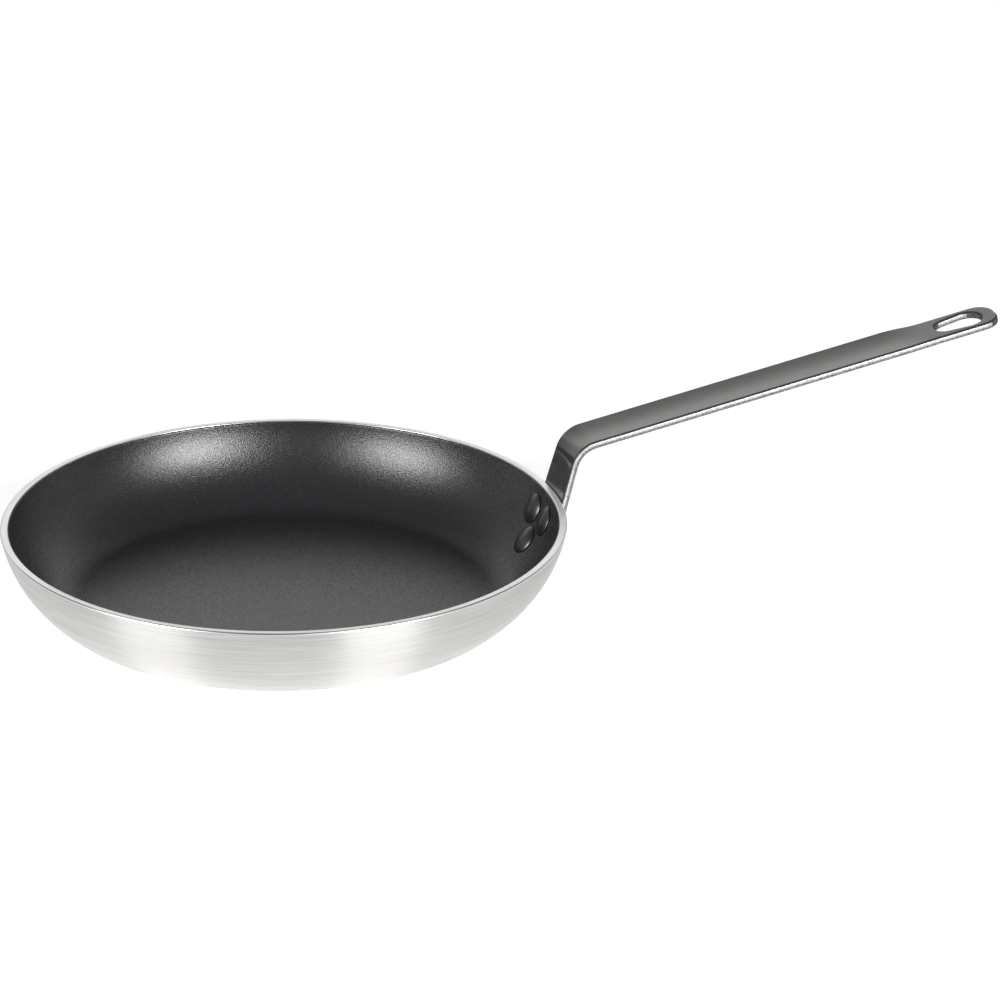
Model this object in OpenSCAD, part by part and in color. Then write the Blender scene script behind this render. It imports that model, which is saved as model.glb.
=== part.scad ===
// Omelette pan: a pressed aluminium body with a dark non-stick lining, and one bent
// strip-steel handle held to the wall by three rivets.
// The origin is the centre of the flat base, +Z is up and the handle runs along +X.

/* [Pan body] */
// Outer diameter of the rim
pan_d = 280; // [220:1:340]
// Height from the flat base to the rim
pan_h = 44; // [35:0.5:52]
// How far the rim stands out beyond the flat of the base
wall_flare = 36.5; // [34:0.5:46]
// Lean of the wall at the rim, from upright
rim_lean = 10.5; // [8:0.5:15]
// Thickness of the wall, measured square to it
wall_t = 4; // [2.5:0.1:5]
// Thickness of the floor
floor_t = 5; // [4:0.1:8]
// Radius that rounds the outer wall into the base
base_fillet_r = 17; // [10:0.5:20]
// Radius that rounds the inner wall into the floor
floor_fillet_r = 23; // [16:0.5:26]
// Chamfer on the inner edge of the rim
rim_inner_chamfer = 0.5; // [0.3:0.1:1]
// Chamfer on the outer edge of the rim
rim_outer_chamfer = 0.8; // [0.2:0.1:1.2]
// Thickness of the non-stick lining
lining_t = 0.3; // [0.2:0.05:0.6]

/* [Handle strip] */
// Thickness of the steel strip
strip_t = 3.5; // [2.5:0.1:5]
// Width of the grip
strip_w = 27.5; // [22:0.5:34]
// How much further the neck leans out than the rim
neck_splay = 5.5; // [1:0.5:12]
// Straight length of the neck between the wall and the bend
neck_len = 24.5; // [14:0.5:50]
// Radius of the bend on its lower face
bend_r = 12; // [5:0.5:30]
// Rise of the grip, from level
grip_rise = 11; // [0:0.5:25]
// Straight length of the grip from the bend to the tip
grip_len = 220; // [120:1:300]
// Metal of the riveted plate beside the tails of the upper rivets
plate_side_margin = 1.1; // [0.5:0.1:6]
// Metal of the riveted plate below the tail of the lower rivet
plate_end_margin = 4; // [2:0.5:8]

/* [Hanging end] */
// Length of the hanging slot
slot_len = 25; // [20:0.5:36]
// Width of the slot at its round outer end
slot_w = 16; // [10:0.5:20]
// How much narrower the slot is at its inner end
slot_taper = 3.5; // [1:0.5:6]
// Metal on either side of the slot
slot_side = 4; // [3:0.5:10]
// Metal between the slot and the tip
slot_margin = 7.5; // [5:0.5:14]
// Radius of the two corners of the tip
tip_corner_r = 10; // [6:0.5:12]
// Length over which the grip narrows into its end
end_blend_len = 24; // [12:1:40]

/* [Rivets] */
// Diameter of the rivet shank
shank_d = 6; // [4:0.1:8]
// Clearance between a shank and its holes, all round
shank_gap = 0.1; // [0.05:0.05:0.3]
// Diameter of the domed head inside the pan
head_d = 15.5; // [12:0.5:18]
// Height of the domed head above the lining
head_h = 2.6; // [1.8:0.1:4]
// Height of the upright edge of the head
head_edge = 0.5; // [0.3:0.1:1]
// Gap between the heads of the upper pair
head_gap = 2.2; // [1:0.1:8]
// Gap between the lower head and either upper head
low_head_gap = 1.6; // [1:0.1:8]
// Bare lining between the upper heads and the rim
head_below_rim = 5.8; // [5:0.1:12]
// Diameter of the formed tail on the outside of the handle
tail_d = 10; // [8.5:0.5:14]
// Height of the formed tail
tail_h = 2; // [1:0.1:3]

/* [Hidden] */
$fn = 96;
fine_fn = 360;

// How far a cutting shape runs past what it cuts, how far joined shapes overlap, and
// how far inside a circle a straight side starts, so that the two cross
cut = 1;
overlap = 0.5;
tangent_inset = 0.02;

rim_r = pan_d / 2;

// Radius of the wall's arc on its outer face: the arc leaves the rim at rim_lean and
// meets the base fillet without a corner
fillet_rise = pan_h - base_fillet_r;
wall_r = (wall_flare * wall_flare + fillet_rise * fillet_rise - base_fillet_r * base_fillet_r)
    / (2 * (wall_flare * cos(rim_lean) - fillet_rise * sin(rim_lean) - base_fillet_r));

// Centre of the wall's arc, in a section through the pan's axis
arc_x = rim_r - wall_r * cos(rim_lean);
arc_z = pan_h + wall_r * sin(rim_lean);

lining_r = wall_r - wall_t;
rim_inner_x = arc_x + sqrt(lining_r * lining_r - (arc_z - pan_h) * (arc_z - pan_h));

// Places of the rivets along the wall, as angles below level seen from the arc's centre
rivet_pitch = head_d + head_gap;
upper_drop = head_below_rim + head_d / 2;
lower_drop = sqrt(pow(head_d + low_head_gap, 2) - pow(rivet_pitch / 2, 2));
upper_dip = rim_lean + upper_drop * 180 / (PI * lining_r);
lower_dip = upper_dip + lower_drop * 180 / (PI * lining_r);

// Bearing of the upper rivets, to either side of the handle
upper_bearing = asin(rivet_pitch / 2 / (arc_x + lining_r * cos(upper_dip)));

// The strip is dished to the wall's own roundness where it leaves the wall
neck_lean = rim_lean + neck_splay;
leave_x = arc_x + wall_r * cos(neck_lean);
leave_z = arc_z - wall_r * sin(neck_lean);
dish_r = leave_x / cos(neck_lean);

// Riveted plate: its round end is centred on the lower rivet, and its sides widen by
// plate_taper to the width at the upper rivets
deg_per_mm = 180 / (PI * wall_r);
plate_w = rivet_pitch + tail_d + 2 * plate_side_margin;
plate_end_r = tail_d / 2 + plate_end_margin;
plate_dip = lower_dip + plate_end_r * deg_per_mm;
plate_len = (plate_dip - neck_lean) / deg_per_mm;
plate_taper = acos(plate_end_r / norm([plate_w / 2, lower_drop])) - atan2(lower_drop, plate_w / 2);

// Bend and grip: the centre of the bend is square to the top of the neck
bend_turn = 90 - neck_lean - grip_rise;
bend_top_r = bend_r + strip_t;
bend_x = leave_x + neck_len * sin(neck_lean) + bend_top_r * cos(neck_lean);
bend_z = leave_z + neck_len * cos(neck_lean) - bend_top_r * sin(neck_lean);
grip_lean = neck_lean + bend_turn;

end_w = slot_w + 2 * slot_side;
end_len = slot_len + slot_margin + slot_side / 2;
tip_r = min(tip_corner_r, end_w / 2 - overlap);

// Numbers of steps in the sweep of the strip
across_steps = 9;
plate_steps = 6;
bend_steps = 14;
blend_steps = 7;

// Share of the dish that is left in the flat end of the grip
least_dish = 0.05;

// Section of the space inside a shell of the pan: wall arc of radius r, rounded by
// fillet_r into a flat at height base_z, and open above at height top_z
module bowl_section(r, fillet_r, base_z, top_z) {
    reach = r - fillet_r;
    fall = arc_z - base_z - fillet_r;
    fillet_x = arc_x + sqrt(reach * reach - fall * fall);
    meet_z = arc_z - r * fall / reach;
    translate([0, base_z]) square([fillet_x, fillet_r]);
    intersection() {
        translate([fillet_x, base_z + fillet_r]) circle(fillet_r);
        translate([0, base_z]) square([2 * rim_r, fillet_r]);
    }
    translate([0, meet_z]) square([arc_x + overlap, top_z - meet_z]);
    intersection() {
        translate([arc_x, arc_z]) circle(r);
        translate([arc_x, meet_z]) square([rim_r, top_z - meet_z]);
    }
}

module outer_section() {
    bowl_section(wall_r, base_fillet_r, 0, pan_h);
}

// Inner face of the bare metal, which the lining covers
module metal_inner_section(top_z) {
    bowl_section(lining_r + lining_t, floor_fillet_r + lining_t, floor_t - lining_t, top_z);
}

// Inner face of the lining
module lining_inner_section(top_z) {
    bowl_section(lining_r, floor_fillet_r, floor_t, top_z);
}

// Puts its children on the wall: local Z points out of the pan, square to the wall,
// from the centre of the wall's arc, and local X runs down the wall
module on_wall(dip, bearing = 0) {
    rotate([0, 0, bearing]) translate([arc_x, 0, arc_z]) rotate([0, dip + 90, 0]) children();
}

module rivet_holes() {
    for (place = [[upper_dip, upper_bearing], [upper_dip, -upper_bearing], [lower_dip, 0]])
        on_wall(place[0], place[1]) translate([0, 0, lining_r - cut])
            cylinder(d = shank_d + 2 * shank_gap, h = wall_t + strip_t + 2 * cut);
}

// Square ring that cuts a chamfer of the given size from an edge of the rim
module rim_chamfer(x, size) {
    translate([x, pan_h]) rotate(45) square(sqrt(2) * size, center = true);
}

module pan_body() {
    color([0.80, 0.80, 0.79]) difference() {
        rotate_extrude($fn = fine_fn) difference() {
            outer_section();
            metal_inner_section(pan_h + cut);
            rim_chamfer(rim_inner_x, rim_inner_chamfer);
            rim_chamfer(rim_r, rim_outer_chamfer);
        }
        rivet_holes();
    }
}

module nonstick_lining() {
    color([0.13, 0.13, 0.14]) difference() {
        rotate_extrude($fn = fine_fn) difference() {
            metal_inner_section(pan_h - rim_inner_chamfer);
            lining_inner_section(pan_h);
        }
        rivet_holes();
    }
}

// One station of the strip: where the middle of its dished face is, how far it leans,
// half its width there, and the radius and direction of its dish
function wall_station(dip, half_w) =
    let (x = arc_x + wall_r * cos(dip), z = arc_z - wall_r * sin(dip))
    [x, z, dip, half_w, x, 0];

function bar_station(x, z, lean, half_w, r = dish_r) = [x, z, lean, half_w, r, lean];

// Half the width of the riveted plate at a distance along the wall from its round end,
// whose sides run on as straight tangents to the width at the upper rivets
function plate_half_w(s) =
    s < plate_end_r * (1 - sin(plate_taper)) ? sqrt(s * (2 * plate_end_r - s))
    : min(plate_w / 2, (plate_end_r + (s - plate_end_r) * sin(plate_taper)) / cos(plate_taper));

// The riveted plate follows the wall from its round end up to where the neck leaves
function plate_stations() = concat(
    [for (i = [0 : plate_steps])
        let (s = plate_end_r * (1 - sin(plate_taper)) * (1 - cos(5 + 85 * i / plate_steps)))
        wall_station(plate_dip - s * deg_per_mm, plate_half_w(s))],
    [for (i = [1 : 2 * plate_steps])
        let (from = plate_end_r * (1 - sin(plate_taper)),
            s = from + (plate_len - from) * i / (2 * plate_steps))
        wall_station(plate_dip - s * deg_per_mm, plate_half_w(s))]
);

// The bend is an arc about a centre below the strip
function bend_stations() = [
    for (i = [0 : bend_steps])
        let (lean = neck_lean + bend_turn * i / bend_steps)
        bar_station(bend_x - bend_top_r * cos(lean), bend_z + bend_top_r * sin(lean),
            lean, strip_w / 2)
];

// How far the grip has turned into its end at a distance along it, from 0 to 1
function end_share(s) =
    let (u = min(1, max(0, (s - grip_len + end_len + end_blend_len) / end_blend_len)))
    (1 - cos(180 * u)) / 2;

// The grip narrows into its end, and its dish fades out to a flat
function grip_half_w(s) = strip_w / 2 + (end_w - strip_w) / 2 * end_share(s);
function grip_dish_r(s) = dish_r / max(least_dish, 1 - end_share(s));

function grip_station(s, half_w) = bar_station(
    bend_x - bend_top_r * cos(grip_lean) + s * sin(grip_lean),
    bend_z + bend_top_r * sin(grip_lean) + s * cos(grip_lean),
    grip_lean, half_w, grip_dish_r(s)
);

function grip_stations() = concat(
    [for (i = [0 : blend_steps])
        let (s = grip_len - end_len - end_blend_len + end_blend_len * i / blend_steps)
        grip_station(s, grip_half_w(s))],
    [for (i = [0 : blend_steps])
        let (turn = 90 * i / blend_steps)
        grip_station(grip_len - tip_r + tip_r * sin(turn), end_w / 2 - tip_r + tip_r * cos(turn))]
);

// Point of the strip at a station: depth below its dished face, and y across it
function strip_point(q, depth, y) =
    let (r = q[4] + depth * cos(q[2] - q[5]), sag = r - sqrt(r * r - y * y))
    [q[0] + depth * cos(q[2]) - sag * cos(q[5]), y, q[1] - depth * sin(q[2]) + sag * sin(q[5])];

// The whole strip in one sweep: a ring of points at every station, skinned together
module strip() {
    stations = concat(plate_stations(), bend_stations(), grip_stations());
    rows = len(stations);
    side = across_steps + 1;
    ring = 2 * side;
    points = [for (q = stations, k = [0 : ring - 1])
        let (top = k < side, j = top ? k : ring - 1 - k)
        strip_point(q, top ? 0 : strip_t, q[3] * (2 * j / across_steps - 1))];
    skin = [for (i = [0 : rows - 2], k = [0 : ring - 1])
        let (a = i * ring + k, b = i * ring + (k + 1) % ring)
        each [[a, b, b + ring], [a, b + ring, a + ring]]];
    caps = [for (k = [0 : across_steps - 1])
        let (a = k, b = ring - 1 - k, end = (rows - 1) * ring)
        each [[a, b, b - 1], [a, b - 1, a + 1],
            [end + a, end + b - 1, end + b], [end + a, end + a + 1, end + b - 1]]];
    polyhedron(points, concat(skin, caps));
}

// Hanging slot: two circles and the straight sides that run from one to the other
module slot_outline() {
    end_r = slot_w / 2;
    neck_r = (slot_w - slot_taper) / 2;
    span = slot_len - end_r - neck_r;
    lean = asin((end_r - neck_r) / span);
    end_side = (end_r - tangent_inset) * [-sin(lean), cos(lean)];
    neck_side = (neck_r - tangent_inset) * [-sin(lean), cos(lean)] - [span, 0];
    translate([grip_len - slot_margin - end_r, 0]) {
        circle(end_r);
        translate([-span, 0]) circle(neck_r);
        polygon([
            end_side, neck_side,
            [neck_side[0], -neck_side[1]], [end_side[0], -end_side[1]]
        ]);
    }
}

module hanging_slot() {
    translate([bend_x, 0, bend_z]) rotate([0, grip_lean - 90, 0])
        translate([0, 0, bend_top_r - 2 * strip_t]) linear_extrude(4 * strip_t) slot_outline();
}

module handle() {
    color([0.37, 0.37, 0.36]) difference() {
        strip();
        rivet_holes();
        hanging_slot();
    }
}

// Round cap: a slice of a ball, d across at its foot and h high, rising along -Z
module cap(d, h) {
    ball_r = (d * d / 4 + h * h) / (2 * h);
    intersection() {
        translate([0, 0, ball_r - h]) sphere(ball_r);
        translate([0, 0, -h]) cylinder(d = d, h = h);
    }
}

// Wall and strip together, as the rivets clamp them
module clamped_stack() {
    rotate_extrude($fn = fine_fn) translate([arc_x, arc_z]) difference() {
        circle(wall_r + strip_t);
        circle(lining_r);
    }
}

// One rivet: a domed head seated on the lining, a shank, and a tail formed on the handle
module rivet(dip, bearing) {
    foot = lining_r - head_d * head_d / (8 * lining_r) - head_edge;
    tail_foot = wall_r + strip_t;
    color([0.17, 0.17, 0.17]) rotate([0, 0, bearing]) {
        difference() {
            on_wall(dip) {
                translate([0, 0, foot]) cap(head_d, head_h - lining_r + foot);
                translate([0, 0, foot]) cylinder(d = head_d, h = lining_r + overlap - foot);
                translate([0, 0, tail_foot]) mirror([0, 0, 1]) cap(tail_d, tail_h);
                translate([0, 0, tail_foot - overlap]) cylinder(d = tail_d, h = overlap);
            }
            clamped_stack();
        }
        on_wall(dip) translate([0, 0, foot]) cylinder(d = shank_d, h = tail_foot + tail_h / 2 - foot);
    }
}

module rivet_upper_left() {
    rivet(upper_dip, upper_bearing);
}

module rivet_upper_right() {
    rivet(upper_dip, -upper_bearing);
}

module rivet_lower() {
    rivet(lower_dip, 0);
}

pan_body();
nonstick_lining();
handle();
rivet_upper_left();
rivet_upper_right();
rivet_lower();
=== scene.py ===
# %% [markdown]
# # An omelette pan, piece by piece
# The object is a pressed aluminium pan with a dark non-stick lining. A bent strip of
# coated steel is riveted to its wall as the handle, and the strip ends in a hanging slot.
# The first cell brings in the imported solid model as a fixed frame. Every piece made
# below replaces one of its nodes, at the same place and the same size, so nothing has
# to be fitted by eye.

import math

import bmesh
import bpy
from mathutils import Matrix, Vector
from mathutils.bvhtree import BVHTree


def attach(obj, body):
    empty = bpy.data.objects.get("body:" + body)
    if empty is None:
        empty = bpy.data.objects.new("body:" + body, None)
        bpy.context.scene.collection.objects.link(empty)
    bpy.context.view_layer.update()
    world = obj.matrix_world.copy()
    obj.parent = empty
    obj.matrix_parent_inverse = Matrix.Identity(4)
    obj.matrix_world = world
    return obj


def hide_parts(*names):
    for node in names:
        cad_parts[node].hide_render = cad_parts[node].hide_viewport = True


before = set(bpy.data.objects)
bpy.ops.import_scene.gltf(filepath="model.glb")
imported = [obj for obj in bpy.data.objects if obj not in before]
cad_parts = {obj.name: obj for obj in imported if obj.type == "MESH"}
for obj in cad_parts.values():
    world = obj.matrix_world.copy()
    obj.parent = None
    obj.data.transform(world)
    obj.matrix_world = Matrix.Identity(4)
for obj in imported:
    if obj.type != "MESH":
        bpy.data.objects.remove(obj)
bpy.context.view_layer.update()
scene = bpy.context.scene
mm = 0.001
print("frame nodes:", sorted(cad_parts))

# %% [markdown]
# ## The sizes of the pan
# A pan like this is pressed and then turned, so its section is made of a few arcs that
# run into each other without a corner: the wall is one arc, and a smaller arc rounds it
# into the floor. The flare is how far the rim stands out past the flat of the base. With
# the lean of the wall at the rim it gives the wall's arc and its centre. The same few
# numbers shape the pan, the lining and the plate of the handle, so they are worked out
# once.

# %% Sizes of the pan's section
rim_r, pan_h = 140 * mm, 44 * mm
wall_t, floor_t, lining_t = 4 * mm, 5 * mm, 0.3 * mm
base_round, floor_round = 17 * mm, 23 * mm
rim_lean = math.radians(10.5)
flare = 36.5 * mm
rise = pan_h - base_round
wall_r = (flare**2 + rise**2 - base_round**2) / (
    2 * (flare * math.cos(rim_lean) - rise * math.sin(rim_lean) - base_round)
)
lining_r = wall_r - wall_t
arc_centre = Vector((rim_r - wall_r * math.cos(rim_lean), 0, pan_h + wall_r * math.sin(rim_lean)))
print(f"wall arc radius {wall_r / mm:.2f} mm about {arc_centre / mm}")

# %% [markdown]
# ## Drawing with two strokes
# Every section below is drawn as a chain of edges before it is turned or raised. Two
# strokes are enough. A straight stroke extrudes the last point and puts the new one
# where it belongs. A round stroke spins the last point about a centre. Typing in a list
# of points would work too, but then a change of radius would mean a new list.

# %% Strokes for sketching a section
weld = 0.002 * mm


def start_at(bm, x, z):
    return bm.verts.new((x, 0, z))


def line_to(bm, last, x, z):
    made = bmesh.ops.extrude_vert_indiv(bm, verts=[last])
    made["verts"][0].co = (x, 0, z)
    return made["verts"][0]


def arc_about(bm, last, centre, turn, steps):
    """Turns the last point about centre, in degrees, from +Z towards +X."""
    made = bmesh.ops.spin(
        bm, geom=[last], cent=centre, axis=(0, 1, 0), angle=math.radians(turn),
        steps=steps, use_merge=False, use_duplicate=False,
    )
    return next(g for g in made["geom_last"] if isinstance(g, bmesh.types.BMVert))


def turned_on_the_lathe(bm, steps):
    """Spins a whole section round the pan's axis and closes it."""
    bmesh.ops.spin(
        bm, geom=list(bm.verts) + list(bm.edges), cent=(0, 0, 0), axis=(0, 0, 1),
        angle=math.tau, steps=steps, use_merge=True,
    )
    bmesh.ops.remove_doubles(bm, verts=bm.verts, dist=weld)
    bmesh.ops.recalc_face_normals(bm, faces=bm.faces)


def finished_piece(bm, name, slot, *nodes):
    """Makes the mesh an object that stands for its nodes of the frame."""
    mesh = bpy.data.meshes.new(name)
    bm.to_mesh(mesh)
    bm.free()
    for face in mesh.polygons:
        face.use_smooth = True
    piece = bpy.data.objects.new(name, mesh)
    scene.collection.objects.link(piece)
    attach(piece, "root")
    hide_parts(*nodes)
    print(f"{name}: {len(mesh.polygons)} faces, {[round(v / mm, 1) for v in piece.dimensions]} mm")
    return piece


print(f"strokes: {line_to.__name__} and {arc_about.__name__}, welded within {weld / mm} mm")

# %% [markdown]
# ## How the two arcs of a wall meet
# The wall's arc and the arc that rounds it into the floor share a tangent where they
# meet, so both centres and the meeting point lie on one straight line. That gives the
# angle at which one stroke hands over to the next. The outside, the bare metal inside
# and the lining are the same drawing at three depths.

# %% Where the wall hands over to the floor
flat_rings = (0.985, 0.75, 0.5, 0.25, 0)


def wall_facts(radius, rounding, flat_z):
    """Angles and centre for a wall of this radius, rounded into a flat at flat_z."""
    reach = radius - rounding
    fall = arc_centre.z - flat_z - rounding
    centre = Vector((arc_centre.x + math.sqrt(reach**2 - fall**2), 0, flat_z + rounding))
    handover = math.degrees(math.asin(fall / reach))
    return centre, handover


def draw_wall(bm, last, top_dip, radius, rounding, flat_z, wall_steps, round_steps):
    """From a point on the wall, down the wall and round into the flat, to the axis."""
    centre, handover = wall_facts(radius, rounding, flat_z)
    last = arc_about(bm, last, arc_centre, handover - top_dip, wall_steps)
    last = arc_about(bm, last, centre, 90 - handover, round_steps)
    for share in flat_rings:
        last = line_to(bm, last, centre.x * share, flat_z)
    return last


def dip_at(radius, z):
    """How far below level the wall's radius points where the wall passes height z."""
    return math.degrees(math.asin((arc_centre.z - z) / radius))


def on_wall(radius, dip, bearing=0.0):
    """A point of the wall, by its angle below level and its bearing round the axis."""
    r = arc_centre.x + radius * math.cos(math.radians(dip))
    return Vector((r * math.cos(bearing), r * math.sin(bearing),
                   arc_centre.z - radius * math.sin(math.radians(dip))))


for label, facts in (("outside", (wall_r, base_round, 0)),
                     ("lining", (lining_r, floor_round, floor_t))):
    centre, handover = wall_facts(*facts)
    print(f"{label}: hands over {handover:.1f} degrees below level, "
          f"flat to r = {centre.x / mm:.1f} mm")

# %% [markdown]
# ## The pan body
# The body is one section turned through a full circle. The rim is machined: a flat ring
# with a small chamfer inside and a slightly larger, softer one outside. Those two edges
# catch the brightest and the darkest line of the whole pan, so they are drawn as short
# strokes with a close neighbour on each side. The neighbours keep the smooth shading of
# the ring and the wall from bleeding over the edge.

# %% Turn the pan body
rim_inner_chamfer, rim_outer_chamfer = 0.5 * mm, 0.8 * mm
turn_steps, metal_steps = 240, (40, 16)
metal_r = lining_r + lining_t
hold, edge_bulge, edge_shares = 0.08 * mm, 0.12 * rim_outer_chamfer, (0.3, 0.7)
TURNED, MACHINED_PAINTED_LIGHTER = 0, 1


def turned_pan_body():
    bm = bmesh.new()
    # outside: from the middle of the rim's ring outwards and down
    outer_x = on_wall(wall_r, dip_at(wall_r, pan_h)).x
    inner_x = on_wall(lining_r, dip_at(lining_r, pan_h)).x
    middle = start_at(bm, (outer_x + inner_x) / 2, pan_h)
    edge_x = outer_x - rim_outer_chamfer
    last = line_to(bm, middle, edge_x - hold, pan_h)
    last = line_to(bm, last, edge_x, pan_h)
    foot_dip = dip_at(wall_r, pan_h - rim_outer_chamfer)
    foot = on_wall(wall_r, foot_dip)
    for share in edge_shares:
        last = line_to(bm, last, edge_x + share * (foot.x - edge_x) + edge_bulge,
                       pan_h - share * rim_outer_chamfer + edge_bulge)
    last = line_to(bm, last, foot.x, foot.z)
    near_dip = foot_dip + math.degrees(hold / wall_r)
    near = on_wall(wall_r, near_dip)
    last = line_to(bm, last, near.x, near.z)
    draw_wall(bm, last, near_dip, wall_r, base_round, 0, *metal_steps)
    # inside: from the same middle inwards, and down behind the lining
    last = line_to(bm, middle, inner_x + rim_inner_chamfer + hold, pan_h)
    last = line_to(bm, last, inner_x + rim_inner_chamfer, pan_h)
    lip_dip = dip_at(lining_r, pan_h - rim_inner_chamfer)
    lip = on_wall(lining_r, lip_dip)
    last = line_to(bm, last, lip.x, lip.z)
    behind_dip = dip_at(metal_r, pan_h - rim_inner_chamfer)
    behind = on_wall(metal_r, behind_dip)
    last = line_to(bm, last, behind.x, behind.z)
    draw_wall(bm, last, behind_dip, metal_r, floor_round + lining_t, floor_t - lining_t,
              *metal_steps)
    turned_on_the_lathe(bm, turn_steps)
    for face in bm.faces:
        # the rim's ring and chamfers get the copy of the aluminium that is painted lighter
        machined = all(v.co.z > pan_h - rim_outer_chamfer - hold / 2 for v in face.verts)
        face.material_index = MACHINED_PAINTED_LIGHTER if machined else TURNED
    return finished_piece(bm, "pan_body_turned", "body_aluminium", "pan_body")


pan_body = turned_pan_body()

# %% [markdown]
# ## The non-stick lining
# The lining is a coat of film on the inside of the pan, and it ends in a clean line at
# the rim's inner chamfer. It could be painted on the body as a second material. It is
# turned as a thin shell of its own instead, because it is a separate thing: it can be
# looked at, moved or recoloured without touching the metal.

# %% Turn the lining
film_steps = (44, 20)


def turned_lining():
    bm = bmesh.new()
    lip_z = pan_h - rim_inner_chamfer
    top_dip, back_dip = dip_at(lining_r, lip_z), dip_at(metal_r, lip_z)
    top, back = on_wall(lining_r, top_dip), on_wall(metal_r, back_dip)
    first = start_at(bm, top.x, top.z)
    draw_wall(bm, first, top_dip, lining_r, floor_round, floor_t, *film_steps)
    last = line_to(bm, first, back.x, back.z)
    draw_wall(bm, last, back_dip, metal_r, floor_round + lining_t, floor_t - lining_t,
              *metal_steps)
    turned_on_the_lathe(bm, turn_steps)
    return finished_piece(bm, "nonstick_lining_film", "lining", "nonstick_lining")


lining = turned_lining()

# %% [markdown]
# ## The handle, as a flat blank
# The real handle is punched out of coated strip and then bent. It is made here in the
# same order, because each step is easy on a flat sheet and hard on a bent one. The
# outline is drawn as half a blank with the two strokes and mirrored: a round end for
# the lower rivet, sides that widen to the upper pair, a neck that narrows to the grip,
# and the rounded tip. The slot and the holes are drawn inside it, and one fill closes
# the sheet around them.

# %% Sizes of the strip
strip_t, strip_w = 3.5 * mm, 27.5 * mm
neck_lean, grip_rise = math.radians(16), math.radians(11)
neck_len, bend_r, grip_len = 24.5 * mm, 12 * mm, 220 * mm
head_d, tail_d, hole_r = 15.5 * mm, 10 * mm, 3.1 * mm
head_gap, low_head_gap, head_below_rim = 2.2 * mm, 1.6 * mm, 5.8 * mm
plate_side, plate_end = 1.1 * mm, 4 * mm
rivet_pitch = head_d + head_gap
upper_dip = rim_lean + (head_below_rim + head_d / 2) / lining_r
lower_drop = math.sqrt((head_d + low_head_gap) ** 2 - (rivet_pitch / 2) ** 2)
lower_dip = upper_dip + lower_drop / lining_r
upper_bearing = math.asin(rivet_pitch / 2 / (arc_centre.x + lining_r * math.cos(upper_dip)))

plate_half = rivet_pitch / 2 + tail_d / 2 + plate_side
end_r = tail_d / 2 + plate_end
plate_dip = lower_dip + end_r / wall_r
plate_len = (plate_dip - neck_lean) * wall_r
widen = math.acos(end_r / math.hypot(plate_half, lower_drop)) - math.atan2(lower_drop, plate_half)
bend_turn = math.pi / 2 - neck_lean - grip_rise
bend_top_r = bend_r + strip_t
bend_at = plate_len + neck_len
grip_at = bend_at + bend_top_r * bend_turn
tip_at = grip_at + grip_len
print(f"blank {tip_at / mm:.1f} mm long, {2 * plate_half / mm:.1f} mm wide at the rivets")

# %% Punch the blank
slot_len, slot_w, slot_taper, slot_margin = 25 * mm, 16 * mm, 3.5 * mm, 7.5 * mm
end_half, tip_r, blend_len, blend_gap = 12 * mm, 10 * mm, 24 * mm, 2 * mm
blend_from = tip_at - slot_len - slot_margin - blend_gap - blend_len
corner_steps, blend_steps, slim_steps, wide_steps, hole_sides = 14, 6, 12, 16, 32


def draw_half_outline(bm):
    """Half the blank, in the XZ plane: X runs along the strip and Z across it."""
    last = start_at(bm, 0, 0)
    last = arc_about(bm, last, (end_r, 0, 0), 90 - math.degrees(widen), corner_steps)
    last = line_to(bm, last, end_r + lower_drop, plate_half)
    last = line_to(bm, last, plate_len, plate_half)
    last = line_to(bm, last, bend_at, strip_w / 2)
    last = line_to(bm, last, blend_from, strip_w / 2)
    step = (strip_w / 2 - end_half) / 2
    sweep_r = ((blend_len / 2) ** 2 + step**2) / (2 * step)
    sweep = math.degrees(math.asin(blend_len / 2 / sweep_r))
    last = arc_about(bm, last, (blend_from, 0, strip_w / 2 - sweep_r), sweep, blend_steps)
    last = arc_about(bm, last, (blend_from + blend_len, 0, end_half + sweep_r), -sweep, blend_steps)
    last = line_to(bm, last, tip_at - tip_r, end_half)
    last = arc_about(bm, last, (tip_at - tip_r, 0, end_half - tip_r), 90, corner_steps)
    line_to(bm, last, tip_at, 0)


def draw_half_slot(bm):
    """Half the slot: a slim round end, a leaning side and a wide round end."""
    wide_r, slim_r = slot_w / 2, (slot_w - slot_taper) / 2
    wide_x = tip_at - slot_margin - wide_r
    slim_x = wide_x - (slot_len - wide_r - slim_r)
    lean = math.asin((wide_r - slim_r) / (wide_x - slim_x))
    last = start_at(bm, slim_x - slim_r, 0)
    last = arc_about(bm, last, (slim_x, 0, 0), 90 - math.degrees(lean), slim_steps)
    last = line_to(bm, last, wide_x - wide_r * math.sin(lean), wide_r * math.cos(lean))
    arc_about(bm, last, (wide_x, 0, 0), 90 + math.degrees(lean), wide_steps)


def punched_blank():
    bm = bmesh.new()
    draw_half_outline(bm)
    draw_half_slot(bm)
    bmesh.ops.mirror(bm, geom=list(bm.verts) + list(bm.edges), axis="Z", merge_dist=weld / 2)
    # lay the drawing down: across the strip becomes Y
    quarter_turn = Matrix.Rotation(-math.pi / 2, 3, "X")
    bmesh.ops.rotate(bm, verts=bm.verts, cent=(0, 0, 0), matrix=quarter_turn)
    for dip, bearing in ((lower_dip, 0), (upper_dip, upper_bearing), (upper_dip, -upper_bearing)):
        across = on_wall(wall_r, math.degrees(dip), bearing).y
        place = Matrix.Translation(((plate_dip - dip) * wall_r, across, 0))
        bmesh.ops.create_circle(bm, cap_ends=False, radius=hole_r, segments=hole_sides,
                                matrix=place)
    bmesh.ops.remove_doubles(bm, verts=bm.verts, dist=weld)
    bmesh.ops.triangle_fill(bm, use_beauty=True, use_dissolve=False, edges=bm.edges,
                            normal=(0, 0, 1))
    return bm


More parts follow.
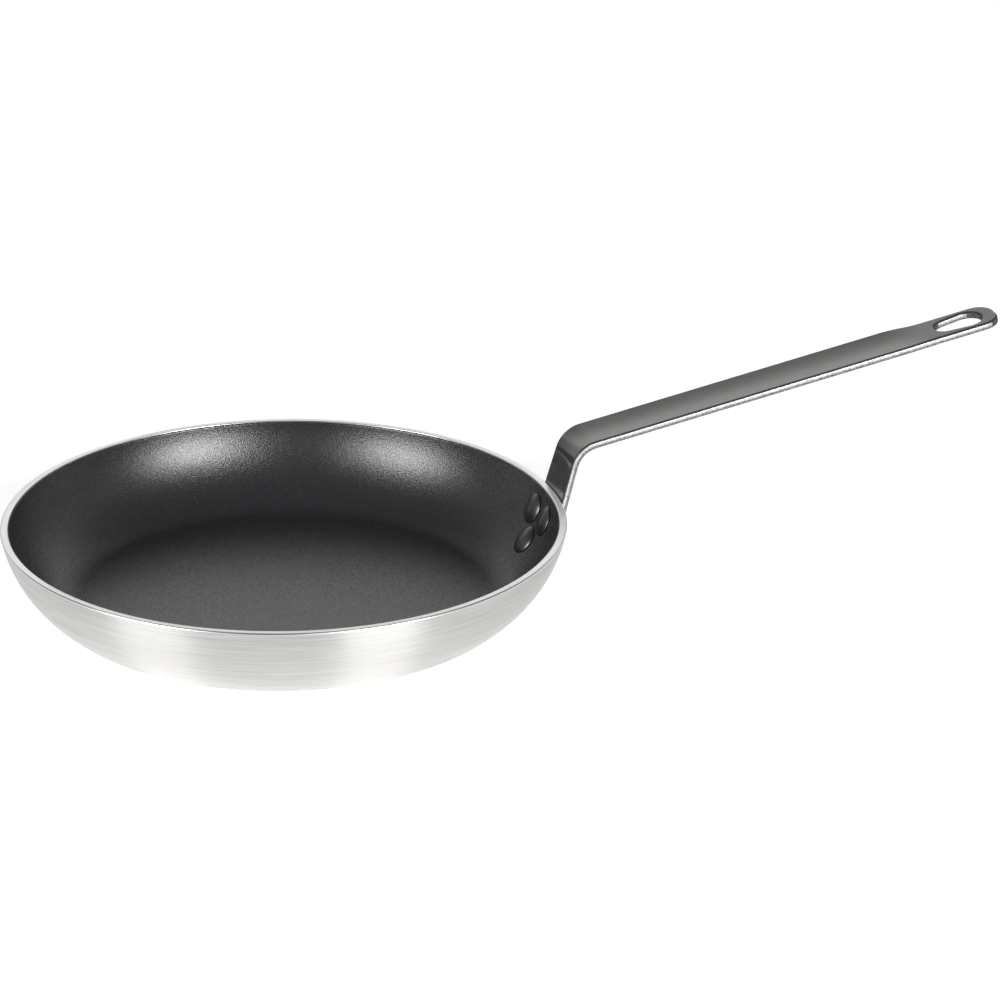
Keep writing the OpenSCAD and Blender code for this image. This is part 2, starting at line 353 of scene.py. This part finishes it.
blank = punched_blank()
print("blank:", len(blank.verts), "points,", len(blank.faces), "faces,",
      f"{sum(f.calc_area() for f in blank.faces) / mm**2:.0f} mm2 of strip")

# %% [markdown]
# ## Thickness and punched edges
# A punch leaves an edge with a story. On the side that the punch enters, the sheet is
# drawn down into a round of about a millimetre, and the coat goes down with it. Below
# that the edge is sheared bright and smooth, and the last part breaks off and stays
# grainy, with a small burr. The sheet is raised to its thickness and its two rims are
# bevelled, the upper one wide and the lower one narrow. The flat faces are then inset
# by a narrow border, which keeps their shading flat.

# %% Give the blank its thickness
edge_roll, edge_burr = 1.2 * mm, 0.25 * mm
roll_steps, burr_steps = 4, 2
sharp, level_facing, snap, border = math.radians(60), 0.999, 0.01 * mm, 0.4 * mm


def thicken(bm):
    """Raises the sheet downwards, rounds both its rims and borders its flat faces."""
    bmesh.ops.recalc_face_normals(bm, faces=bm.faces)
    if sum(f.normal.z for f in bm.faces) < 0:
        bmesh.ops.reverse_faces(bm, faces=bm.faces)
    made = bmesh.ops.extrude_face_region(bm, geom=list(bm.faces), use_keep_orig=True)
    lowered = [g for g in made["geom"] if isinstance(g, bmesh.types.BMVert)]
    bmesh.ops.translate(bm, verts=lowered, vec=(0, 0, -strip_t))
    bmesh.ops.recalc_face_normals(bm, faces=bm.faces)
    for level, rounding, steps in ((0, edge_roll, roll_steps), (-strip_t, edge_burr, burr_steps)):
        rims = [e for e in bm.edges if len(e.link_faces) == 2 and e.calc_face_angle() > sharp
                and max(abs(v.co.z - level) for v in e.verts) < snap]
        bmesh.ops.bevel(bm, geom=rims, offset=rounding, offset_type="OFFSET", affect="EDGES",
                        segments=steps, profile=0.5, material=-1, clamp_overlap=True)
    flats = [f for f in bm.faces if abs(f.normal.z) > level_facing]
    bmesh.ops.inset_region(bm, faces=flats, thickness=border, use_even_offset=True,
                           use_boundary=True)


thicken(blank)
print("blank with thickness:", len(blank.faces), "faces")

# %% [markdown]
# ## Bending the strip
# The blank is bent by sending every point along one path. Beside the wall the path
# follows the pan's own arc, then it runs straight up the neck, round the bend and out
# along the grip. The strip is also dished across its width, to the same round as the
# wall, and the dish fades out in front of the flat end with the slot. An armature or a
# curve modifier could bend it too, but they would not keep the plate in exact contact
# with the wall. Rows are cut across the blank first, close together where it will
# curve, because a face can only bend at its edges.

# %% Cut rows into the blank
plate_row, neck_row, bend_row, grip_row = 1.6 * mm, 5.5 * mm, 0.9 * mm, 5 * mm
first_row, last_row = 1 * mm, tip_at - 4 * mm
side_line, line_gap = 12 * mm, 2.4 * mm
row_snap = 0.03 * mm


def cut_across(bm, places, direction, near):
    """Cuts the mesh square to a direction at each place along it."""
    for place in places:
        bmesh.ops.bisect_plane(bm, geom=list(bm.verts) + list(bm.edges) + list(bm.faces),
                               dist=near, plane_co=place * direction, plane_no=direction)


def spaced(start, stop, step):
    count = max(1, round((stop - start) / step))
    return [start + (stop - start) * i / count for i in range(count + 1)]


row_places = (spaced(first_row, plate_len, plate_row) + spaced(plate_len, bend_at, neck_row)[1:]
              + spaced(bend_at, grip_at, bend_row)[1:] + spaced(grip_at, last_row, grip_row)[1:])
cut_across(blank, row_places, Vector((1, 0, 0)), row_snap)
cut_across(blank, spaced(-side_line, side_line, line_gap), Vector((0, 1, 0)), row_snap)
print(len(row_places), "rows,", len(blank.faces), "faces")

# %% [markdown]
# ## Which finish each face wears
# One mesh can carry several finishes, because each face holds the number of its own. The
# numbers are given while the blank is still flat, when a face's depth and the way it
# looks say at once what the punch did to it. A material could find the bands by height
# instead, but not any more once the strip is bent. Two cuts along the edge come first, so
# that each band ends in a clean line.

# %% Number the faces
COATED, SHEARED, BROKEN, BLANKED_PAINTED_DARK, ROLLED = range(5)
coat_depth, shear_depth, roll_from = 0.62 * edge_roll, 0.58 * strip_t, 0.1 * mm
end_facing, underside = 0.4, -0.9
cut_across(blank, (-coat_depth, -shear_depth), Vector((0, 0, 1)), snap)
# faces that face along the strip, the round ends, get a finish whose dark colour is painted shade
for face in blank.faces:
    depth = -face.calc_center_median().z
    if depth < coat_depth or face.normal.z < underside:
        face.material_index = ROLLED if roll_from < depth < coat_depth else COATED
    elif abs(face.normal.x) > end_facing:
        face.material_index = BLANKED_PAINTED_DARK
    else:
        face.material_index = SHEARED if depth < shear_depth else BROKEN
for label, number in (("coated", COATED), ("rolled", ROLLED), ("sheared", SHEARED),
                      ("broken", BROKEN), ("blanked", BLANKED_PAINTED_DARK)):
    print(label, sum(face.material_index == number for face in blank.faces), "faces")

# %% [markdown]
# ## The path of the strip
# The path is four stretches: the pan's arc, the straight neck, the arc of the bend and
# the straight grip. For any point of the blank it gives a place, the lean of the strip
# there, and how round it is dished. One formula for the whole path would be shorter, but
# with a stretch for each step of the bending, every size can be read off the real handle.

# %% Bend it
leave = on_wall(wall_r, math.degrees(neck_lean))
strip_dish = leave.x / math.cos(neck_lean)
bend_start = leave + neck_len * Vector((math.sin(neck_lean), 0, math.cos(neck_lean)))
bend_centre = bend_start + bend_top_r * Vector((math.cos(neck_lean), 0, -math.sin(neck_lean)))
grip_lean = neck_lean + bend_turn
grip_start = bend_centre + bend_top_r * Vector((-math.cos(grip_lean), 0, math.sin(grip_lean)))
least_dish = 0.05


def bent(s, across, depth):
    """Where a point of the blank ends up: s along it, across it, and below its top."""
    if s <= plate_len:
        lean = plate_dip - s / wall_r
        at = on_wall(wall_r, math.degrees(lean))
        dish, facing = at.x, 0.0
    elif s <= bend_at:
        lean, share = neck_lean, (s - plate_len) / neck_len
        at = leave.lerp(bend_start, share)
        dish, facing = leave.x + share * (strip_dish - leave.x), share * neck_lean
    elif s <= grip_at:
        lean = neck_lean + (s - bend_at) / bend_top_r
        at = bend_centre + bend_top_r * Vector((-math.cos(lean), 0, math.sin(lean)))
        dish, facing = strip_dish, lean
    else:
        lean = grip_lean
        at = grip_start + (s - grip_at) * Vector((math.sin(lean), 0, math.cos(lean)))
        flat = min(1, max(0, (s - blend_from) / blend_len))
        dished = 0.5 + 0.5 * math.cos(math.pi * flat)
        dish, facing = strip_dish / max(least_dish, dished), lean
    r = dish + depth * math.cos(lean - facing)
    sag = r - math.sqrt(r * r - across * across)
    return Vector((at.x + depth * math.cos(lean) - sag * math.cos(facing), across,
                   at.z - depth * math.sin(lean) + sag * math.sin(facing)))


for vert in blank.verts:
    vert.co = bent(vert.co.x, vert.co.y, -vert.co.z)
bmesh.ops.recalc_face_normals(blank, faces=blank.faces)
handle = finished_piece(blank, "handle_bent_strip", "handle_steel", "handle")

# %% [markdown]
# ## The rivets
# Each rivet is one solid of revolution: a domed head, a shank, and a tail hammered flat
# on the handle. A squashed ball on a cylinder would do from afar. It is drawn as a
# section and turned about its own axis instead, so that the head can be an arc pressed a
# little flat and cut back under its edge. The cut leaves the thin dark seam that shows
# round each head.

# %% Turn a rivet
shank_r, head_h, tail_h = 3 * mm, 2.6 * mm, 2 * mm
head_arc, seam_h, seam_in = math.radians(60), 0.3 * mm, 0.5 * mm
stack_t = wall_t + strip_t
head_steps, tail_steps, rivet_sides = 16, 8, 48


def ball_radius(radius, height):
    """Radius of the ball that a cap of this radius and height is cut from."""
    return (radius**2 + height**2) / (2 * height)


def turned_rivet():
    """A rivet about +Z: its head below zero, where the lining is, and its tail on top."""
    bm = bmesh.new()
    head_r, tail_r = head_d / 2, tail_d / 2
    arc_r = head_r / math.sin(head_arc)
    arc_h = arc_r * (1 - math.cos(head_arc))
    last = start_at(bm, 0, -arc_h)
    last = arc_about(bm, last, (0, 0, arc_r - arc_h), -math.degrees(head_arc), head_steps)
    bmesh.ops.scale(bm, vec=(1, 1, (head_h - seam_h) / arc_h), verts=bm.verts)
    bmesh.ops.translate(bm, vec=(0, 0, -seam_h), verts=bm.verts)
    last = line_to(bm, last, head_r - seam_in, 0)
    last = line_to(bm, last, shank_r, 0)
    last = line_to(bm, last, shank_r, stack_t)
    last = line_to(bm, last, tail_r, stack_t)
    ball = ball_radius(tail_r, tail_h)
    tail_arc = math.degrees(math.asin(tail_r / ball))
    arc_about(bm, last, (0, 0, stack_t + tail_h - ball), -tail_arc, tail_steps)
    turned_on_the_lathe(bm, rivet_sides)
    return bm


print(f"a rivet holds {stack_t / mm:.1f} mm between its head, {head_d / mm:.1f} mm across, "
      f"and its tail, {tail_d / mm:.1f} mm across")

# %% [markdown]
# ## Seating the rivets
# A real head is pressed until it sits on the wall all round, so it is not flat below.
# The seam of a flat one would sink into the round wall, and a boolean would leave ragged
# edges. Here rays find how far the lining rises under each point of the head, and the
# strip under the tail, and the points move by as much.

# %% Seat the three rivets
stand_off, ray_len = 3 * mm, 8 * mm


def surface_of(piece):
    bm = bmesh.new()
    bm.from_mesh(piece.data)
    tree = BVHTree.FromBMesh(bm)
    bm.free()
    return tree


lining_surface, strip_surface = surface_of(lining), surface_of(handle)


def seat(verts, place, surface, side, level):
    """Moves points along the rivet by as much as a surface lies off the level there."""
    outward = (place.to_3x3() @ Vector((0, 0, 1))).normalized()
    for vert in verts:
        flat = place @ Vector((vert.co.x, vert.co.y, level))
        hit = surface.ray_cast(flat + side * stand_off * outward, -side * outward, ray_len)[0]
        if hit is not None:
            vert.co.z += (hit - flat).dot(outward)


def rivet(name, dip, bearing, node):
    bm = turned_rivet()
    place = (Matrix.Rotation(bearing, 4, "Z")
             @ Matrix.Translation(on_wall(lining_r, math.degrees(dip)))
             @ Matrix.Rotation(math.radians(90) + dip, 4, "Y"))
    head = [v for v in bm.verts if v.co.z < snap]
    tail_foot = [v for v in bm.verts
                 if abs(v.co.z - stack_t) < snap and v.co.xy.length > hole_r]
    seat(head, place, lining_surface, -1, 0)
    seat(tail_foot, place, strip_surface, 1, stack_t)
    bmesh.ops.transform(bm, matrix=place, verts=bm.verts)
    bmesh.ops.recalc_face_normals(bm, faces=bm.faces)
    return finished_piece(bm, name, "rivet", node)


rivets = [
    rivet("rivet_set_upper_left", upper_dip, upper_bearing, "rivet_upper_left"),
    rivet("rivet_set_upper_right", upper_dip, -upper_bearing, "rivet_upper_right"),
    rivet("rivet_set_lower", lower_dip, 0, "rivet_lower"),
]

# %% [markdown]
# ## Writing finishes as node trees
# A finish is a small tree of nodes on the object's own coordinates. No image is used,
# so the grain stays sharp at any distance. Two helpers keep the trees readable: one
# adds a node with its values and links, the other starts a finish with its shader.
# Whatever is the same all over a piece is a plain number on the shader's own socket.

# %% Start a finish
def add(tree, kind, sockets=(), **settings):
    """Adds a node. Each socket takes a number, or a link from another node."""
    node = tree.nodes.new(kind)
    for key, value in settings.items():
        setattr(node, key, value)
    for key, value in dict(sockets).items():
        if isinstance(value, bpy.types.NodeSocket):
            tree.links.new(value, node.inputs[key])
        else:
            node.inputs[key].default_value = value
    return node


def new_finish(name, colour, metallic, roughness, **shader):
    finish = bpy.data.materials.new(name)
    finish.use_nodes = True
    tree = finish.node_tree
    body = tree.nodes["Principled BSDF"]
    body.inputs["Base Color"].default_value = (*colour, 1)
    body.inputs["Metallic"].default_value = metallic
    body.inputs["Roughness"].default_value = roughness
    for key, value in shader.items():
        body.inputs[key].default_value = value
    where = add(tree, "ShaderNodeTexCoord").outputs["Object"]
    return finish, tree, body, where


print("helpers:", add.__name__, "and", new_finish.__name__)

# %% [markdown]
# ## Patterns that steer a finish
# No real surface is the same all over. A noise gives the small differences, and it can
# do three things: tint the colour, vary the roughness and raise a grain. The nodes for
# them could be wired anew for each finish, but a small function for each keeps the
# finishes short enough to compare. The grain is in metres, so a scale of 1000 means a
# feature about a millimetre across.

# %% Patterns for the finishes
def noise(tree, where, scale, detail, rough):
    return add(tree, "ShaderNodeTexNoise", {"Vector": where, "Scale": scale, "Detail": detail,
                                            "Roughness": rough}).outputs["Fac"]


def remap(tree, value, span, onto):
    """Maps one span of values onto another."""
    sockets = {"Value": value, "From Min": span[0], "From Max": span[1],
               "To Min": onto[0], "To Max": onto[1]}
    return add(tree, "ShaderNodeMapRange", sockets).outputs["Result"]


def blend_colour(tree, share, first, second):
    node = add(tree, "ShaderNodeMix", {"Factor": share}, data_type="RGBA")
    node.inputs["A"].default_value, node.inputs["B"].default_value = (*first, 1), (*second, 1)
    return node.outputs["Result"]


def tint(tree, body, pattern, span, first, second):
    """Colours the finish with a pattern, from the first colour to the second over the span."""
    colour = blend_colour(tree, remap(tree, pattern, span, (0, 1)), first, second)
    tree.links.new(colour, body.inputs["Base Color"])


def vary_roughness(tree, body, pattern, onto):
    """Lets the roughness follow a noise, whose values lie mostly between 0.3 and 0.7."""
    tree.links.new(remap(tree, pattern, (0.3, 0.7), onto), body.inputs["Roughness"])


def raise_grain(tree, body, pattern, depth, under=None):
    """Raises a pattern by its depth, on top of another grain if there is one under it."""
    sockets = {"Height": pattern, "Distance": depth, "Strength": 1.0}
    if under is not None:
        sockets["Normal"] = under
    bump = add(tree, "ShaderNodeBump", sockets).outputs["Normal"]
    tree.links.new(bump, body.inputs["Normal"])
    return bump


helpers = (noise, remap, blend_colour, tint, vary_roughness, raise_grain)
print("helpers:", ", ".join(helper.__name__ for helper in helpers))

# %% [markdown]
# ## Turned aluminium
# The outside was turned on a lathe, so its scratches run round the pan and nowhere
# else. A noise that is stretched along the circle gives them: its third coordinate is
# the distance from the axis plus the height, which grows all the way from the middle
# of the base to the rim. The scratches also stretch every reflection across them, which
# the shader's anisotropy does with a tangent that runs round the axis. So the two
# softboxes show as two upright bands on the wall. The rim was cut last, with a finer
# tool, and gets the same finish with less stretch. The wall and the rim wear lit and
# shaded copies of one aluminium: the rim's colour is painted lighter than the wall's.

# %% Turned aluminium
quarter_turned, rough_change = 0.25, 0.04


def calculate(tree, operation, first, second):
    node = add(tree, "ShaderNodeMath", {0: first, 1: second}, operation=operation)
    return node.outputs["Value"]


def ring_space(tree, where, along, across):
    """Coordinates that run slowly round the pan and quickly across the rings."""
    parts = add(tree, "ShaderNodeSeparateXYZ", {"Vector": where})
    flat = add(tree, "ShaderNodeCombineXYZ", {"X": parts.outputs["X"], "Y": parts.outputs["Y"]})
    from_axis = add(tree, "ShaderNodeVectorMath", {0: flat.outputs["Vector"]}, operation="LENGTH")
    ring = calculate(tree, "ADD", from_axis.outputs["Value"], parts.outputs["Z"])
    spread = [calculate(tree, "MULTIPLY", value, scale)
              for value, scale in ((parts.outputs["X"], along), (parts.outputs["Y"], along),
                                   (ring, across))]
    return add(tree, "ShaderNodeCombineXYZ", dict(zip("XYZ", spread))).outputs["Vector"]


def turned_aluminium(name, dull, bright, rough, stretch):
    finish, tree, body, where = new_finish(name, bright, metallic=1.0, roughness=rough,
                                           Anisotropic=stretch,
                                           **{"Anisotropic Rotation": quarter_turned})
    tangent = add(tree, "ShaderNodeTangent", direction_type="RADIAL", axis="Z")
    tree.links.new(tangent.outputs["Tangent"], body.inputs["Tangent"])
    streaks = noise(tree, ring_space(tree, where, along=22, across=1100),
                    scale=1.0, detail=4.0, rough=0.6)
    scratches = noise(tree, ring_space(tree, where, along=60, across=3600),
                      scale=1.0, detail=2.0, rough=0.6)
    tint(tree, body, streaks, (0.35, 0.65), dull, bright)
    vary_roughness(tree, body, streaks, (rough + rough_change, rough - rough_change))
    under = raise_grain(tree, body, scratches, depth=0.004 * mm)
    raise_grain(tree, body, streaks, depth=0.01 * mm, under=under)
    return finish


wall_finish = turned_aluminium("turned_aluminium", (0.545, 0.54, 0.526), (0.655, 0.65, 0.636),
                               rough=0.36, stretch=1.0)
# the rim's copy of the aluminium is painted lighter than the wall's
rim_finish_painted_lighter = turned_aluminium("machined_rim_painted_lighter", (0.86, 0.855, 0.84), (0.94, 0.935, 0.925),
                              rough=0.3, stretch=0.3)
for finish in (wall_finish, rim_finish_painted_lighter):
    pan_body.data.materials.append(finish)
    print(finish.name, len(finish.node_tree.nodes), "nodes")

# %% [markdown]
# ## The lining's satin film
# A sprayed film is never quite flat. It has a fine orange peel, about as coarse as the
# droplets, and mineral flecks that glint where the light catches them. The film is
# nearly black, so most of what the eye reads as its colour is the room's reflection.
# That is why the roughness and the peel matter more here than the colour does.

# %% Satin film
def satin_film():
    finish, tree, body, where = new_finish("satin_nonstick_film", (0.0172, 0.0177, 0.0195),
                                           metallic=0.0, roughness=0.26, IOR=1.75)
    peel = noise(tree, where, scale=1500, detail=2.0, rough=0.6)
    flecks = add(tree, "ShaderNodeTexVoronoi", {"Vector": where, "Scale": 2600}, feature="F1")
    fleck = add(tree, "ShaderNodeSeparateColor", {"Color": flecks.outputs["Color"]}).outputs["Red"]
    tint(tree, body, fleck, (0.96, 0.99), (0.0167, 0.0172, 0.019), (0.05, 0.05, 0.053))
    vary_roughness(tree, body, peel, (0.2, 0.32))
    raise_grain(tree, body, peel, depth=0.13 * mm)
    return finish


film = satin_film()
lining.data.materials.append(film)
print(film.name, len(film.node_tree.nodes), "nodes")

# %% [markdown]
# ## The coat of the strip
# The strip was coated before it was punched. Its faces wear a satin grey-black coat
# with a fine grain, which is glossy enough to mirror the dark pan in the neck. Where
# the punch rolled the edge, it stretched the coat and left it dull. One glossy coat for
# both would be simpler, but its rolled edge would mirror the softbox as a white patch.

# %% Coat of the strip
def strip_coat():
    warm = (1.0, 0.985, 0.94, 1.0)
    finish, tree, body, where = new_finish("satin_strip_coat", (0.042, 0.0412, 0.039),
                                           metallic=0.0, roughness=0.09,
                                           IOR=1.95, **{"Specular Tint": warm})
    grain = noise(tree, where, scale=1200, detail=3.0, rough=0.6)
    clouds = noise(tree, where, scale=220, detail=4.0, rough=0.6)
    tint(tree, body, clouds, (0.3, 0.7), (0.034, 0.0333, 0.0315), (0.05, 0.049, 0.0465))
    vary_roughness(tree, body, grain, (0.07, 0.12))
    raise_grain(tree, body, grain, depth=0.014 * mm)
    return finish


def rolled_coat():
    finish, tree, body, where = new_finish("stretched_edge_coat", (0.035, 0.0343, 0.0325),
                                           metallic=0.0, roughness=0.5, IOR=1.4)
    grain = noise(tree, where, scale=1200, detail=3.0, rough=0.6)
    vary_roughness(tree, body, grain, (0.42, 0.58))
    raise_grain(tree, body, grain, depth=0.014 * mm)
    return finish


flat_coat, edge_coat = strip_coat(), rolled_coat()
print(flat_coat.name, "and", edge_coat.name)

# %% [markdown]
# ## The bare edges of the strip
# Below the coat the long edges are bare steel in two bands: one sheared bright by the
# punch, and one where the steel broke away and stayed rough. The round ends, at the tip
# and in the slot, are rough, and their dark colour is painted shade for the dark room
# that these ends mirror. One grey for all of them would lose the bright and the dark
# line that run side by side along the real grip.

# %% Bare edges, and the strip's five finishes
def sheared_edge():
    finish, tree, body, where = new_finish("sheared_steel_edge", (0.62, 0.615, 0.605),
                                           metallic=1.0, roughness=0.48)
    grain = noise(tree, where, scale=900, detail=3.0, rough=0.6)
    tint(tree, body, grain, (0.4, 0.6), (0.45, 0.445, 0.435), (0.68, 0.675, 0.665))
    vary_roughness(tree, body, grain, (0.42, 0.55))
    raise_grain(tree, body, grain, depth=0.03 * mm)
    return finish


def broken_edge():
    finish, tree, body, where = new_finish("broken_steel_edge", (0.3, 0.295, 0.29),
                                           metallic=1.0, roughness=0.6)
    grain = noise(tree, where, scale=1700, detail=4.0, rough=0.7)
    tint(tree, body, grain, (0.38, 0.62), (0.09, 0.088, 0.085), (0.42, 0.415, 0.405))
    raise_grain(tree, body, grain, depth=0.12 * mm)
    return finish


# the round ends: their roughness and grain are the steel's own, their dark colour is painted shade
def blanked_end_painted_shade():
    finish, tree, body, where = new_finish("blanked_steel_end_painted_dark", (0.08, 0.079, 0.076),
                                           metallic=0.0, roughness=0.6,
                                           **{"Specular IOR Level": 0.25})
    grain = noise(tree, where, scale=1100, detail=3.0, rough=0.6)
    tint(tree, body, grain, (0.38, 0.62), (0.03, 0.0295, 0.028), (0.15, 0.148, 0.143))
    vary_roughness(tree, body, grain, (0.7, 0.5))
    raise_grain(tree, body, grain, depth=0.05 * mm)
    return finish


strip_finishes = {COATED: flat_coat, SHEARED: sheared_edge(), BROKEN: broken_edge(),
                  BLANKED_PAINTED_DARK: blanked_end_painted_shade(), ROLLED: edge_coat}
for number, finish in strip_finishes.items():
    handle.data.materials.append(finish)
    worn = sum(face.material_index == number for face in handle.data.polygons)
    print(f"{finish.name}: {worn} faces")

# %% [markdown]
# ## The rivets' black
# The heads carry the same kind of black as the lining, a little smoother, because a
# press has polished them. They show as soft highlights with a dark seam round them.

# %% Rivet black
def rivet_black():
    finish, tree, body, where = new_finish("pressed_rivet_black", (0.008, 0.008, 0.0085),
                                           metallic=0.0, roughness=0.3, IOR=2.05)
    peel = noise(tree, where, scale=1300, detail=2.0, rough=0.5)
    vary_roughness(tree, body, peel, (0.27, 0.34))
    raise_grain(tree, body, peel, depth=0.03 * mm)
    return finish


black = rivet_black()
for piece in rivets:
    piece.data.materials.append(black)
    print(piece.name, "wears", black.name)

# %% [markdown]
# ## The table
# The pan stands on white. More light would whiten the table too, but it would bleach the
# pan with it. So the table glows a little, which only the camera and the reflections
# see, and it keeps the pan's shadow. The neck of the handle mirrors the table close
# behind the pan, and there it is dark in the photograph. So in reflections the white
# ends a hand's width behind the pan.

# %% Table
turn_to_room = Matrix.Rotation(math.radians(-17), 4, "Z")
to_back = turn_to_room @ Vector((0, 1, 0))
floor_half, floor_drop = 5, 0.1 * mm
white, dark_grey, glow = (0.8, 0.8, 0.8), (0.1, 0.1, 0.1), 0.6
white_until, dark_from = 0.17, 0.2


def towards(tree, where, direction):
    """How far a place lies along a direction."""
    node = add(tree, "ShaderNodeVectorMath", {0: where, 1: direction}, operation="DOT_PRODUCT")
    return node.outputs["Value"]


def studio_white():
    """A white that glows for the camera and in reflections, and ends behind the pan."""
    finish = bpy.data.materials.new("studio_white")
    finish.use_nodes = True
    tree = finish.node_tree
    body = tree.nodes["Principled BSDF"]
    body.inputs["Roughness"].default_value = 0.9
    body.inputs["Specular IOR Level"].default_value = 0.0
    body.inputs["Emission Color"].default_value = (1, 1, 1, 1)
    rays = add(tree, "ShaderNodeLightPath").outputs
    seen = calculate(tree, "MAXIMUM", rays["Is Camera Ray"], rays["Is Glossy Ray"])
    seen = calculate(tree, "MAXIMUM", seen, rays["Is Transmission Ray"])
    behind = towards(tree, add(tree, "ShaderNodeTexCoord").outputs["Object"], to_back)
    past_end = remap(tree, behind, (white_until, dark_from), (0, 1))
    dark = calculate(tree, "MULTIPLY", past_end, rays["Is Glossy Ray"])
    tree.links.new(blend_colour(tree, dark, white, dark_grey), body.inputs["Base Color"])
    lift = calculate(tree, "MULTIPLY", calculate(tree, "SUBTRACT", seen, dark), glow)
    tree.links.new(lift, body.inputs["Emission Strength"])
    return finish


def lay_floor():
    bm = bmesh.new()
    bmesh.ops.create_grid(bm, x_segments=2, y_segments=2, size=floor_half)
    bmesh.ops.translate(bm, verts=bm.verts, vec=(0, 0, -floor_drop))
    mesh = bpy.data.meshes.new("studio_floor")
    bm.to_mesh(mesh)
    bm.free()
    floor = bpy.data.objects.new("studio_floor", mesh)
    scene.collection.objects.link(floor)
    mesh.materials.append(studio_white())
    print(f"floor {2 * floor_half} m wide, mirrored white up to {white_until} m behind the pan")


lay_floor()

# %% [markdown]
# ## The room
# Satin and metal show mostly what stands around them. Behind the pan the room is bright
# a little above the table, which lights the grip, the rim and the front of the pan's
# floor from their mirrored side. It is dimmer overhead and on the camera's side. A
# picture of a real room could be used, but one ramp by height and one by direction are
# enough, and each level of the ramp can be matched to one place on the pan.

# %% Room
room_levels = {0: 0.55, 0.2: 0.6, 0.32: 1.1, 0.4: 1.05, 0.5: 0.66, 0.7: 0.32, 1: 0.3}
dim_until, bright_from, dim_share = 0.55, 0.8, 0.34


def light_room():
    world = bpy.data.worlds.new("studio_room")
    scene.world = world
    world.use_nodes = True
    tree = world.node_tree
    sky = tree.nodes["Background"]
    where = add(tree, "ShaderNodeTexCoord").outputs["Generated"]
    height = add(tree, "ShaderNodeSeparateXYZ", {"Vector": where}).outputs["Z"]
    fade = add(tree, "ShaderNodeValToRGB", {"Fac": height})
    marks = fade.color_ramp.elements
    for place in list(room_levels)[1:-1]:
        marks.new(place)
    for mark, level in zip(marks, room_levels.values()):
        mark.color = (level, level, level, 1)
    ahead = towards(tree, where, to_back)
    tree.links.new(fade.outputs["Color"], sky.inputs["Color"])
    strength = remap(tree, ahead, (dim_until, bright_from), (dim_share, 1.0))
    tree.links.new(strength, sky.inputs["Strength"])
    print("room levels by height:", room_levels)


light_room()

# %% [markdown]
# ## The softboxes
# A low softbox stands on each side in front of the pan. They make the two upright bands
# on the outer wall and the two soft highlights in the bowl. Point lamps in the same
# places would make hard glints instead, because a highlight has the shape of its light.

# %% Softboxes
left_box = {"bearing": -53, "watts": 64}
right_box = {"bearing": 41, "watts": 80}
both_boxes = {"elevation": 23, "away": 3.2, "wide": 1.7, "tall": 1.05}


def softbox(name, bearing, elevation, away, wide, tall, watts):
    """A softbox, placed by its bearing from the camera's side of the pan."""
    lamp = bpy.data.lights.new(name, "AREA")
    lamp.shape, lamp.size, lamp.size_y, lamp.energy = "RECTANGLE", wide, tall, watts
    box = bpy.data.objects.new(name, lamp)
    b, e = math.radians(bearing), math.radians(elevation)
    aim = Vector((math.sin(b) * math.cos(e), -math.cos(b) * math.cos(e), math.sin(e)))
    place = turn_to_room @ aim * away
    box.location = place
    box.rotation_euler = (-place).to_track_quat("-Z", "Y").to_euler()
    scene.collection.objects.link(box)
    print(f"{name}: {wide} by {tall} m, {away} m away, {watts} W")


softbox("softbox_left", **left_box, **both_boxes)
softbox("softbox_right", **right_box, **both_boxes)

# %% [markdown]
# ## The camera
# The photograph was taken from about 22 degrees above the table with a long lens, so
# the rim is a clean ellipse. Such a camera could be turned by hand until it looks right.
# The lens and the place below were found by fitting the ellipse of the rim and the
# corners of the handle instead, because the sizes of the pan rest on them.

# %% Camera
look_down = math.radians(22.16)
rim_right, rim_up, rim_ahead = -106.7 * mm, -10.6 * mm, 2963.3 * mm
focal_length, sensor_width, far_end = 216, 36, 50


def set_camera():
    """Puts the middle of the rim at its fitted place in front of the camera."""
    right = Vector((1, 0, 0))
    ahead = Vector((0, math.cos(look_down), -math.sin(look_down)))
    up = Vector((0, math.sin(look_down), math.cos(look_down)))
    pose = Matrix((right, up, -ahead)).transposed().to_4x4()
    pose.translation = -(rim_right * right + rim_up * up + rim_ahead * ahead)
    lens = bpy.data.cameras.new("camera")
    lens.lens, lens.sensor_width, lens.clip_end = focal_length, sensor_width, far_end
    camera = bpy.data.objects.new("camera", lens)
    camera.matrix_world = Matrix.Translation((0, 0, pan_h)) @ turn_to_room @ pose
    scene.collection.objects.link(camera)
    scene.camera = camera


set_camera()
scene.view_settings.view_transform = "Standard"
print(f"a {focal_length} mm lens, {rim_ahead:.2f} m from the rim")
